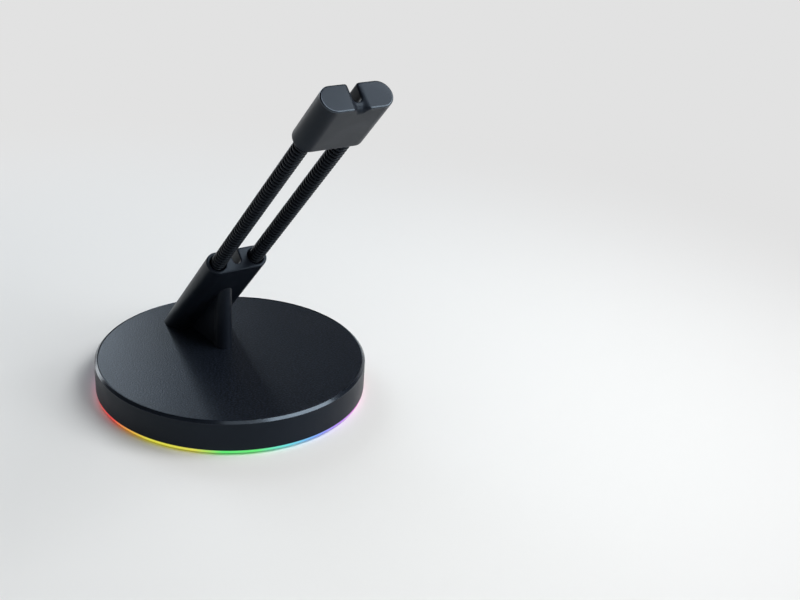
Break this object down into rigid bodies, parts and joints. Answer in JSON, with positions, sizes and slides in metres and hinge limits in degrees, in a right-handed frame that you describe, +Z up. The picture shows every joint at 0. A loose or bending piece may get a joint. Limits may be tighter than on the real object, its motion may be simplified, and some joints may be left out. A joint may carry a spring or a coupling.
{
  "type": "mouse bungee",
  "caption": "Weighted round desk stand with an underlit edge, a slanted stem and a sprung arm whose slotted head holds a mouse cord clear of the desk.",
  "frame": {"origin": "on the desk under the middle of the round base, in the foot's lower face", "axes": "+Z up, the arm leans forward towards -Y, +X to the right as seen from the front"},
  "size_m": [0.1, 0.1289, 0.1344],
  "materials": {
    "satin_black_plastic": "satin moulded plastic",
    "textured_black_plastic": "fine spark-eroded texture, matt",
    "inner_black_plastic": "plain moulded plastic",
    "light_diffuser": "translucent white, lit from inside",
    "black_rubber": "matt rubber",
    "plain_steel": "zinc-plated steel",
    "black_spring_steel": "black-coated spring steel",
    "circuit_board": "green solder mask",
    "lamp_white": "white lamp body"
  },
  "bodies": {
    "stand": {"base_housing": "satin_black_plastic", "top_plate": "textured_black_plastic", "light_ring": "light_diffuser", "base_plate": "inner_black_plastic", "foot": "black_rubber", "ballast": "plain_steel", "led_board": "circuit_board", "leds": "lamp_white", "driver_chip": "inner_black_plastic", "power_socket_shell": "plain_steel", "power_socket_tongue": "inner_black_plastic", "base_screws": "plain_steel", "board_screws": "plain_steel", "stem_screws": "plain_steel", "stem": "satin_black_plastic", "left_lower_stud": "plain_steel", "right_lower_stud": "plain_steel"},
    "springs": {"left_spring": "black_spring_steel", "right_spring": "black_spring_steel"},
    "head": {"head": "satin_black_plastic", "left_upper_stud": "plain_steel", "right_upper_stud": "plain_steel"}
  },
  "joints": [
    {"name": "arm_sway", "type": "hinge", "parent": "stand", "child": "springs", "pos_m": [0, -0.01789, 0.06839], "axis": [0, 0.7373, 0.6756], "range_deg": [-25, 25], "stiffness_Nm_per_rad": 0.3, "deforming": ["left_spring", "right_spring"]},
    {"name": "arm_nod", "type": "hinge", "parent": "springs", "child": "head", "pos_m": [0, -0.04647, 0.09958], "axis": [1, 0, 0], "range_deg": [-25, 25], "stiffness_Nm_per_rad": 0.3, "deforming": ["left_spring", "right_spring"]}
  ]
}
